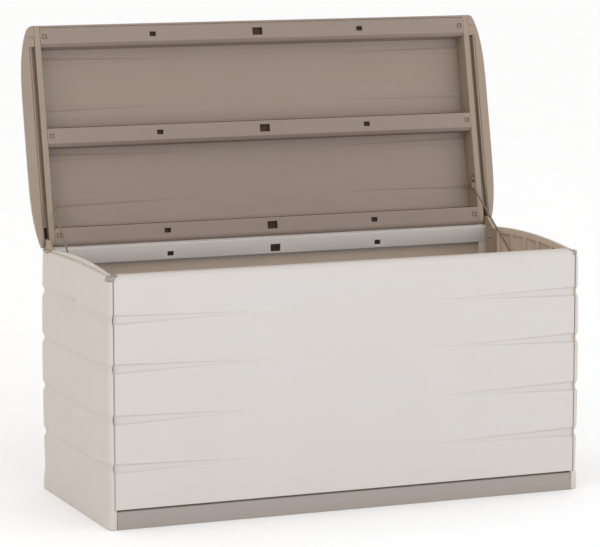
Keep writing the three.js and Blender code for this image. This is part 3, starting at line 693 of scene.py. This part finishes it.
def side_loop(y, share, limit, end):
    """Section of the right side panel.

    share is None on the flat and runs from 0 to 1 round a corner. end holds the x of the inner
    face and how much smaller the corner's round is.
    """
    shoulder = min(shoulder_height(y), limit - FIT)
    lip = min(lip_height(y), limit)
    loop = []
    side = 1 if y > 0 else -1
    for z, inset in side_rows(y, shoulder):
        if share is None:
            loop.append((SIDE_OUTER - inset + swell(z), y, z))
            continue
        radius = max(CORNER - inset - end["drop"], CORNER_LEAST)
        turn = share * math.acos(CORNER_LAST / radius)
        centre = (SIDE_OUTER - CORNER + swell(z) * (1 - share**2), DEPTH_HALF - CORNER)
        x, away = centre[0] + radius * math.cos(turn), centre[1] + radius * math.sin(turn)
        loop.append((x, side * away, z))
    across = end["inner"]
    flat_y = y
    if share is not None:
        turn = share * math.acos(CORNER_LAST / CORNER)
        flat_y = side * (DEPTH_HALF - CORNER + CORNER * math.sin(turn))
    lip_outer = SIDE_INNER + 7
    crown = [(lip_outer, shoulder, 0.8), (lip_outer, lip, 2.5), (across, lip, 2), (across, 0, 0.8)]
    if across > SIDE_INNER + 1:
        edge = across + 0.5
        crown = [(edge, shoulder, 0.1), (edge, lip, 0.1), (across, lip, 0.1), (across, 0, 0.1)]
    sections = open_fillet([(across + 6, shoulder, 0), *crown, (across + 6, 0, 0)], 3)
    return loop + [(x, flat_y, z) for x, z in sections] + [(across + 0.8, flat_y, 0)]


def side_shell():
    """Sections of the right side panel from front to rear."""
    flat = DEPTH_HALF - CORNER
    low, high = FRONT_NOTCH[1], REAR_NOTCH[1]
    inner = {"inner": SIDE_INNER, "drop": 0}
    lap = {"inner": SIDE_INNER + 5.3, "drop": 0}
    drops = ((1, 3), (0.995, 2), (0.98, 1), (0.95, 0.4), (0.9, 0.1))
    turns = [(share, {**lap, "drop": drop}) for share, drop in drops]
    turns += [(share, lap) for share in (0.8, 0.65, 0.5, 0.452)]
    turns += [(share, inner) for share in (0.45, 0.3, 0.15)]
    loops = [side_loop(-flat, share, low, end) for share, end in turns]
    front = -DEPTH_HALF + FRONT_NOTCH[0]
    rear = DEPTH_HALF - REAR_NOTCH[0]
    loops += [side_loop(y, None, low, inner) for y in (-flat, -231, front)]
    lipped = [front + 0.05, *between(front, rear, 22), rear - 0.05]
    loops += [side_loop(y, None, math.inf, inner) for y in lipped]
    loops += [side_loop(y, None, high, inner) for y in (rear, 212, 226, flat)]
    return loops + [side_loop(flat, share, high, end) for share, end in reversed(turns)]


def pocket_shells():
    """Cutters for the pockets between the upright ribs on the inner face."""
    depths = ((-2, 0), (0.6, 0), (6.4, 1.2), (7, 2.2))
    shells = []
    for k in range(POCKET["count"]):
        start = POCKET["first"] + POCKET["pitch"] * k
        rings = []
        for depth, inset in depths:
            low, high = start + inset, start + POCKET["width"] - inset
            foot = POCKET["foot"] + inset
            top = [lip_height(y) - POCKET["under_lip"] - inset for y in (low, high)]
            corners = [(low, foot, 4), (high, foot, 4), (high, top[1], 4), (low, top[0], 4)]
            rings.append([(SIDE_INNER + depth, a, b) for a, b in fillet(corners, 3)])
        shells.append(rings)
    return shells


def grip_shell():
    """Cutter for the hand grip: steep at its front end, running out towards the rear."""
    outside = SIDE_OUTER + 9
    rings = []
    for y, share in GRIP_RUN:
        bottom = SIDE_OUTER + 3.4 - GRIP_DEPTH * share
        corners = [
            (outside, 506, 0),
            (SIDE_OUTER + 3, 500, 5),
            (bottom, 487, 6),
            (bottom, 470, 14),
            (outside, 424, 0),
        ]
        rings.append([(x, y, z) for x, z in fillet(corners, 4)])
    return rings


def feet_shells():
    """Pads that the side panel stands on, at its front, behind them and at its rear."""
    spans = (
        (5.5 - DEPTH_HALF, -235),
        (0.6 - DEPTH_HALF, 8 - DEPTH_HALF),
        (DEPTH_HALF - 8, DEPTH_HALF - 0.6),
    )
    across, heights = (SIDE_INNER + 0.6, SIDE_INNER + 9), (0.4, WALL_FOOT - 0.6)
    return [rounded_box(across, y, heights, 1.5) for y in spans]


side = build("right_side", [side_shell()])
carve(side, pocket_shells())
carve(side, [rounded_box((SIDE_INNER + 0.02, SIDE_OUTER - 1.5), *GRIP_BACKING, 1.5)], "UNION")
carve(side, [grip_shell()])
extend(side, feet_shells())
pair(side, "side", "body", "body_resin", side_resin, "side_panel")


# ---- Floor tray ----
def tray_loop(x):
    reach = -tray_lo[1]
    top = TRAY["height"]
    corners = [
        (-reach, 0, 1.2),
        (-reach + 4, 0, 1.2),
        (-reach + 6.5, top - 4, 3),
        (reach - 6.5, top - 4, 3),
        (reach - 4, 0, 1.2),
        (reach, 0, 1.2),
        (reach - 1.2, 20, 14),
        (reach - 2.5, top, 3.5),
        (-reach + 2.5, top, 3.5),
        (-reach + 1.2, 20, 14),
    ]
    return [(x, a, z) for a, z in fillet(corners, 5)]


def tray_shells():
    half = tray_hi[0]
    inner = -tray_lo[1] - TRAY["wall"]
    pad = TRAY["pad"]
    shells = [[tray_loop(x) for x in (-half, -half / 2, half / 2, half)]]
    for ends in ((-half + 0.5, -half + 4), (half - 4, half - 0.5)):
        shells.append(rounded_box(ends, (-inner, inner), (0.5, 41), 0.8))
    shells.append(rounded_box((-pad, pad), (-pad, pad), (0, 41), 1.5))
    for y in TRAY["long_ribs"]:
        shells.append(rounded_box((-half + 2, half - 2), (y - 2, y + 2), (28, 40), 0.8))
    for x in TRAY["cross_ribs"]:
        shells.append(rounded_box((x - 2, x + 2), (-inner, inner), (29, 39), 0.8))
    return shells


finish_piece(build("tray", tray_shells()), "body", "trim_resin", trim_resin, "floor_panel")

# ---- Lid: points in its own closed frame as (x, forward, height) ----
lid_place = Matrix.Translation((0, HINGE_Y, HINGE_Z)) @ Matrix.Rotation(-OPEN_ANGLE, 4, "X")


def on_lid(x, u, v):
    return tuple(lid_place @ Vector((x, -u, v)))


def inner_height(u):
    return LID_INNER + LID_CROWN * (1 - ((u - LID_MID) / LID_HALF) ** 2)


def outer_height(u):
    return inner_height(u) + SKIN


def skin_rows(low, high, distance, height):
    """(u, v) of the rows of a skin that crosses the reliefs between two u values."""
    share = relief_scale(distance)
    half = max(LID_RELIEF["half"] * share, 1.5)
    deepest = LID_RELIEF["depth"] * share
    rows = [(low, 0)]
    for level in [u for u in LID_LEVELS if low < u < high]:
        band = [(level + k * half, deepest * max(0, 1 - k * k) ** 1.3) for k in BAND]
        rows += [(u, 0) for u in between(rows[-1][0], band[0][0], 4)] + band
    rows += [(u, 0) for u in between(rows[-1][0], high, 4)] + [(high, 0)]
    return [(u, height(u) - depth) for u, depth in rows]


def lid_panel_loop(x, front):
    distance = CAP_INNER - abs(x)
    if front:
        outer = skin_rows(LID_SPLIT, LID_FRONT - 20, distance, outer_height)
        inner = skin_rows(LID_SPLIT, LID_FRONT - SKIN - 15, distance, inner_height)
        top = outer_height(LID_FRONT)
        back = LID_FRONT - SKIN
        nose = open_fillet(
            [
                (400, top, 0),
                (LID_FRONT, top, 18),
                (LID_FRONT, RIM, 1.5),
                (back, RIM, 1.5),
                (back, top - SKIN, 11),
                (400, top - SKIN, 0),
            ],
            6,
        )
        return [on_lid(x, u, v) for u, v in outer + nose + inner[::-1]]
    last = LID_SPLIT - FIT
    outer = skin_rows(4, last, distance, outer_height)[::-1]
    inner = skin_rows(8, last, distance, inner_height)
    top = outer_height(0)
    tail = open_fillet(
        [
            (100, top, 0),
            (RIM, top, 12),
            (RIM, FIT, 1.2),
            (RIM + SKIN, FIT, 1.2),
            (RIM + SKIN, top - SKIN, 8),
            (100, top - SKIN, 0),
        ],
        6,
    )
    return [on_lid(x, u, v) for u, v in outer + tail + inner]


for name, front in (("front", True), ("rear", False)):
    loops = [lid_panel_loop(x, front) for x in wall_stations(CAP_INNER - FIT)]
    skin = build(f"lid_{name}_skin", [loops])
    finish_piece(skin, "lid", "lid_resin", shaded_lid_skin_resin, f"lid_{name}_panel")


# ---- Lid beams ----
def space_top(u):
    """Underside of the lid's skin with its cut-off corners."""
    return inner_height(u) - FIT - max(0, u - BEAM_SPACE["front"]) - max(0, BEAM_SPACE["rear"] - u)


def rear_arc(radius):
    """Corners along the rear beam's round about the hinge axis, from its foot to its back."""
    return [(radius * math.sin(t), radius * math.cos(t), 0) for t in between(0, math.pi / 2, 7)]


def beam_loop(spec):
    near, far, flank = spec["to"], spec["from"], spec["flank"]
    if flank is None:
        inner = RIM + WEB
        outer_face = [(near, RIM, 2), (0, RIM, 0), *rear_arc(RIM), (RIM, 0, 0)]
        inner_face = [(inner, 0, 0), *rear_arc(inner)[::-1], (0, inner, 0)]
    else:
        chamfer = far - BEAM_CHAMFER
        outer_face = [
            (near, RIM, 2),
            (far, RIM, 3),
            (chamfer, RIM + BEAM_CHAMFER, 3),
            (flank, space_top(flank), 0),
        ]
        inner_face = [
            (flank + WEB, space_top(flank + WEB), 0),
            (chamfer + WEB, RIM + BEAM_CHAMFER + BEAM_MITRE, 2),
            (far + BEAM_MITRE, RIM + WEB, 2),
        ]
    first = (near, space_top(near), 0)
    last = [(near - WEB, RIM + WEB, 2), (near - WEB, space_top(near - WEB), 0)]
    return fillet([first, *outer_face, *inner_face, *last], 3)


def beam_shade_back(x, u, width, height):
    """Blind back behind a window in a beam, in the dark material of painted shade."""
    return rounded_box(margins(x, width), margins(u, height), (RIM + WEB + 4, RIM + WEB + 7), 0.8)


def opening_shell(x, u, width, height):
    """Cutter for a window in a beam, with a slight flare at the mouth."""
    mouth = ((RIM - 2, WINDOW_FLARE), (RIM - 0.2, WINDOW_FLARE), (RIM + 0.9, 0), (RIM + WEB + 2, 0))
    outlines = [(v, window_outline(x, u, width, height, grow)) for v, grow in mouth]
    return [[on_lid(a, b, v) for a, b in outline] for v, outline in outlines]


for name, spec in BEAMS.items():
    half = CAP_INNER - FIT
    stations = (-half, -half / 2, 0, half / 2, half)
    loops = [[on_lid(x, u, v) for u, v in beam_loop(spec)] for x in stations]
    beam = build(f"{name}_beam", [loops])
    holes = [opening_shell(x, spec["windows"], w, h) for x, w, h in WINDOWS]
    for x in (-SNAP["x"], SNAP["x"]):
        holes.append(opening_shell(x, spec["windows"], SNAP["hole"], SNAP["hole"]))
    carve(beam, holes)
    backs = [beam_shade_back(x, spec["windows"], w, h) for x, w, h in WINDOWS]
    # the blind backs go in slot 1, dark brown painted shade
    extend(beam, shift(backs, on_lid), 1)
    if name != "front":
        # painted shadow: a thin dark strip along the upper edge of the mid and rear beams stands for the
        # shadow gap over them; the box has no such part
        edge_strip = rounded_box((-half, half), (spec["to"] - 0.5, spec["to"] + 1.4), (RIM + 5, RIM + 12), 0.4)
        extend(beam, shift([edge_strip], on_lid), 1)
    finish_piece(beam, "lid", "lid_resin", shaded_beam_resin, f"lid_{name}_beam")


# ---- Lid end caps ----
def cap_width(u):
    """Half-width of the lid, with its front corner rounded in plan."""
    t = (u - LID_MID) / LID_HALF
    width = CAP_MAX - CAP_TAPER["rear" if t < 0 else "front"] * abs(t) ** 5
    return width - round_off(CAP_NOSE, u - (LID_FRONT - CAP_NOSE))


def cap_top(u):
    """Top of a cap, rounded down at the front and the rear."""
    front = round_off(CAP_ROUND["front"], u - (LID_FRONT - CAP_ROUND["front"]))
    return outer_height(u) + CAP_RISE - front - round_off(CAP_ROUND["rear"], 1 - u)


def cap_foot(u):
    return RIM if u >= 0 else -math.sqrt(max(0, RIM**2 - u**2))


def outer_band(u):
    """The outer face: it leaves the rim upright and curves over to the top."""
    width, top, foot = cap_width(u), cap_top(u), cap_foot(u)
    across = min(CAP_ROLL["across"], width - CAP_ROLL["inner"])
    corner = open_fillet([(width - 8, foot, 0), (width, foot, 2.5), (width, foot + 9, 0)], 3)
    start = foot + 3
    arc = []
    for k in range(1, 15):
        turn = k * math.pi / 28
        arc.append((width - across * (1 - math.cos(turn)), start + (top - start) * math.sin(turn)))
    return corner + arc


def cap_loop(u, groove):
    """Section of a cap behind its corner block. groove is the depth of the slot in its rim."""
    foot, top = cap_foot(u), cap_top(u)
    floor = min(RIM + groove, top - 8)
    near = GROOVE["inner"]
    narrowed = smooth((u - GROOVE_NARROWING["from"]) / GROOVE_NARROWING["over"])
    outer = GROOVE["outer"] - GROOVE_NARROWING["by"] * narrowed
    inner = open_fillet([(near, foot, 0), (CAP_INNER, foot, 1.2), (CAP_INNER, top, 2.2), (600, top, 0)], 3)
    slot = [(outer + 0.6, foot), (outer, foot + 0.8), (outer, floor)]
    slot += [(near, floor), (near, foot + 1), (near - 0.9, foot)]
    edge_strip = [(589, foot), (588.2, foot + 2.2), (587, foot + 2.2), (586.6, foot)]
    return [on_lid(x, u, v) for x, v in slot + inner + outer_band(u)[::-1] + edge_strip]


def block_loop(u):
    """Section of the corner block."""
    foot, top = cap_foot(u), cap_top(u)
    notch = 2.5 if u < BLOCK_STEP else 0.4
    near = GROOVE["inner"] + 0.4
    inner = [(near, foot + notch), (near, top)]
    mouth = [(min(GROOVE["outer"], cap_width(u) - 9.5), foot + notch)]
    return [on_lid(x, u, v) for x, v in inner + outer_band(u)[::-1] + mouth]


def nose_loop(u):
    """Section of the narrow part of a cap that runs on to the front beside the corner block."""
    foot, top = cap_foot(u), cap_top(u)
    corners = [(CAP_INNER, foot, 1.2), (573.4, foot, 0.8), (573.4, top, 0.6), (CAP_INNER, top, 2.2)]
    return [on_lid(x, u, v) for x, v in fillet(corners, 3)]


def cap_shells():
    start, end = GROOVE_REAR_END, BLOCK_START
    rear = [RIM + 0.01, -10.6, -9.6, -8, -5.5, -2.5, 0, 4, 12, 24, start]
    middle = [start + 0.05, *between(start, end, 26), end]
    ahead = [end + 0.05, 485, 500, 505, 509, 512.5, 515.5, 518, 519.8, 520.7, LID_FRONT]
    main = [cap_loop(u, GROOVE["rear_depth"]) for u in rear]
    main += [cap_loop(u, GROOVE["depth"]) for u in middle]
    shells = [main, [nose_loop(u) for u in ahead]]
    for spec in BEAMS.values():
        low, high, at = max(spec["from"], 0) + 6, spec["to"] - 6, spec["windows"]
        finger = rounded_box((CAP_INNER - 27, CAP_INNER + 1), (low, high), (RIM + 4.3, RIM + 13.3), 1)
        peg = SNAP["peg"] / 2
        across = (SNAP["x"] - peg, SNAP["x"] + peg)
        stub = rounded_box(across, (at - peg, at + peg), (RIM + FIT, RIM + 5.3), 0.5)
        shells += shift([finger, stub], on_lid)
    return shells


def corner_shells():
    stations = [BLOCK_START + FIT, 471.5, 483, BLOCK_STEP - 0.1, BLOCK_STEP + 0.1, 502, 506, 509]
    stations += [511.5, 513.5, 515.5, 517.2, 518.6, 519.7, 520.6, LID_FRONT]
    return [[block_loop(u) for u in stations]]


cap_parts = cap_shells()
cap = build("right_cap", cap_parts[:1])
slot_cut = rounded_box((CAP_INNER - 2, CAP_INNER + 3), (418.5, 427.5), (8, 11), 0.6)
carve(cap, shift([slot_cut], on_lid))
extend(cap, cap_parts[1:])
# a dark sheet of painted shade on the floor of the rim slot's deep rear end
slot_back = rounded_box((573.4, 585.6), (13, 35.6), (10.4, 14.2), 0.8)
extend(cap, shift([slot_back], on_lid), 1)
pair(cap, "cap", "lid", "lid_resin", lid_resin, "lid_cap")
pair(build("right_corner", corner_shells()), "corner", "lid", "lid_resin", lid_resin, "lid_corner")


# ---- Corner caps on the front rail ----
plug_lo, plug_hi = box_mm("right_front_cap")
plug = []
plug_top = plug_hi[2]
plug_rows = [(FRONT_NOTCH[1] + FIT, 0), (plug_top - 3, 0), (plug_top - 1.2, 0.7)]
plug_rows += [(plug_top - 0.3, 2), (plug_top, 4)]
for z, inset in plug_rows:
    near, far = CAP_SET_BACK - DEPTH_HALF + inset, plug_hi[1] - inset
    start, end = plug_lo[0] + inset, plug_hi[0] - inset
    corners = [(start, near, 2.5), (end, near, 7), (end, far, 2.5), (start, far, 2.5)]
    plug.append([(x, y, z) for x, y in fillet(corners, 4)])
pair(build("right_plug", [plug]), "plug", "body", "trim_resin", trim_resin, "front_cap")


# ---- Screws: pan heads with a cross recess ----
def screw_shells(node):
    """A screw in its CAD box, and the middle of its head's face."""
    lo, hi = box_mm(node)
    y, z = (lo[1] + hi[1]) / 2, (lo[2] + hi[2]) / 2
    rise, radius, shank = SCREW["rise"], SCREW["radius"], SCREW["shank"]
    length = hi[0] - lo[0]
    profile = [(0, 1.6), (0.12, 2.6), (0.5, 3.6), (1.2, 4.3), (1.8, radius), (rise, radius)]
    profile += [(rise + 0.02, shank), (length - 2, shank), (length - 0.2, 0.3)]
    rings = []
    turns = between(0, 2 * math.pi, 20)
    for along, r in profile:
        rings.append([(lo[0] + along, y + r * math.cos(t), z + r * math.sin(t)) for t in turns])
    return [rings], (lo[0], y, z)


def cross_shells(x, y, z):
    reach, half = SCREW["cross"], SCREW["slot"]
    arms = [((y - reach, y + reach), (z - half, z + half)), ((y - half, y + half), (z - reach, z + reach))]
    return [rounded_box((x - 1, x + 1.2), *arm, 0.12) for arm in arms]


for stem in ("hinge_screw_upper", "hinge_screw_lower", "anchor_screw"):
    shells, at = screw_shells("right_" + stem)
    head = build("right_" + stem + "_head", shells)
    for arm in cross_shells(*at):
        carve(head, [arm])
    pair(head, stem + "_head", "body", "screw_steel", steel, stem)


# ---- Stay cords: three strands laid round each other ----
def stay_path():
    """Ends of the right stay's centreline, from its CAD box."""
    lo, hi = box_mm("right_stay_cord")
    run = Vector((hi[0] - lo[0], hi[1] - lo[1], hi[2] - lo[2]))
    inset = [STAY["radius"] * math.sqrt(max(0, 1 - (c / run.length) ** 2)) for c in run]
    start = Vector((hi[0] - inset[0], lo[1] + inset[1], lo[2] + inset[2]))
    end = Vector((lo[0] + inset[0], hi[1] - inset[1], hi[2] - inset[2]))
    return start, end


def stay_shells():
    start, end = stay_path()
    along = (end - start).normalized()
    across = along.orthogonal().normalized()
    third = along.cross(across)
    rings = []
    for k in range(STAY["sections"] + 1):
        at = start.lerp(end, k / STAY["sections"])
        twist = 2 * math.pi * k / STAY["lay"]
        ring = []
        for i in range(STAY["sides"]):
            t = 2 * math.pi * i / STAY["sides"]
            r = STAY["radius"] * (0.88 + 0.12 * abs(math.cos(1.5 * (t - twist / 3))))
            ring.append(tuple(at + r * (across * math.cos(t) + third * math.sin(t))))
        rings.append(ring)
    return [rings], start, end


shells, stay_start, stay_end = stay_shells()
right_stay = build("right_stay", shells, 60)
left_stay = mirrored(right_stay, "left_stay")
for stay, side_name, sign in ((right_stay, "right", 1), (left_stay, "left", -1)):
    stay.data.materials.append(braid)
    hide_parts(side_name + "_stay_cord")
    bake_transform(stay)

# ---- CAD pieces that keep their shape ----
KEPT = {
    "hinge_bracket": (fitting_resin, 0.6),
    "stay_anchor": (clip_resin, 0.5),
    "stay_clip": (clip_resin, 0.5),
    "clip_screw": (steel, 0.0),
    "hinge_pin": (steel, 0.3),
}
for stem, (material, bevel) in KEPT.items():
    for side_name in ("right_", "left_"):
        node = frame["nodes"][side_name + stem]
        node.data.materials.clear()
        node.data.materials.append(material)
        soften(node)
        if bevel:
            edge = node.modifiers.new("edges", "BEVEL")
            edge.width = bevel * MM
            edge.segments = 2
            edge.limit_method = "ANGLE"
            edge.angle_limit = math.radians(35)
            edge.harden_normals = True


# ---- Floor, light and camera ----
def plane(name, size, material):
    """A flat square floor."""
    mesh = bpy.data.meshes.new(name)
    corners = [(-size, -size, 0), (size, -size, 0), (size, size, 0), (-size, size, 0)]
    mesh.from_pydata(corners, [], [(0, 1, 2, 3)])
    mesh.materials.append(material)
    piece = bpy.data.objects.new(name, mesh)
    bpy.context.scene.collection.objects.link(piece)


floor_material, floor_nodes, floor_links = new_material("pale_floor")
floor_shader = floor_nodes["Principled BSDF"]
floor_place = floor_nodes.new("ShaderNodeTexCoord").outputs["Object"]
floor_tone = remap(floor_nodes, floor_links, noise(floor_nodes, floor_links, floor_place, 3, 3), 0, 1)
floor_color = mix_color(floor_nodes, floor_links, floor_tone, linear(252, 253, 254), linear(254, 254, 255))
floor_links.new(floor_color, floor_shader.inputs["Base Color"])
floor_shader.inputs["Roughness"].default_value = 0.9
plane("studio_floor", 30, floor_material)


def area_light(name, place, target, size, power, color):
    data = bpy.data.lights.new(name, "AREA")
    data.color = color
    data.shape = "RECTANGLE"
    data.size, data.size_y = size
    data.energy = power
    light = bpy.data.objects.new(name, data)
    light.location = place
    light.rotation_euler = (Vector(target) - Vector(place)).to_track_quat("-Z", "Y").to_euler()
    bpy.context.scene.collection.objects.link(light)


lo, hi = cad_box
middle = (lo + hi) / 2
area_light("key", (-3.6, -2.6, 1.9), middle, (2.6, 2.2), 22, (1, 0.92, 0.82))
area_light("fill", (0.9, -4.6, 1.0), (0, 0, 0.45), (3.4, 0.9), 54, (0.72, 0.85, 1))
area_light("side", (3.8, -2.2, 1.3), middle, (2, 1.6), 9, (1, 0.94, 0.86))

world = bpy.data.worlds.new("studio")
world.use_nodes = True
world.node_tree.nodes["Background"].inputs["Color"].default_value = (1, 0.99, 0.98, 1)
world.node_tree.nodes["Background"].inputs["Strength"].default_value = 1.0
bpy.context.scene.world = world
bpy.context.scene.view_settings.view_transform = "Standard"

CAMERA = {"yaw": 22.2, "pitch": 8.3, "distance": 7.2556, "lens": 182.6}
target = Vector((middle.x - 0.026, 0, middle.z - 0.029))
yaw, pitch = math.radians(CAMERA["yaw"]), math.radians(CAMERA["pitch"])
back = Vector((-math.sin(yaw) * math.cos(pitch), -math.cos(yaw) * math.cos(pitch), math.sin(pitch)))
camera_data = bpy.data.cameras.new("camera")
camera_data.lens = CAMERA["lens"]
camera_data.sensor_width = 36
camera_data.clip_end = 100
camera = bpy.data.objects.new("camera", camera_data)
camera.location = target + back * CAMERA["distance"]
camera.rotation_euler = (-back).to_track_quat("-Z", "Y").to_euler()
bpy.context.scene.collection.objects.link(camera)
bpy.context.scene.camera = camera
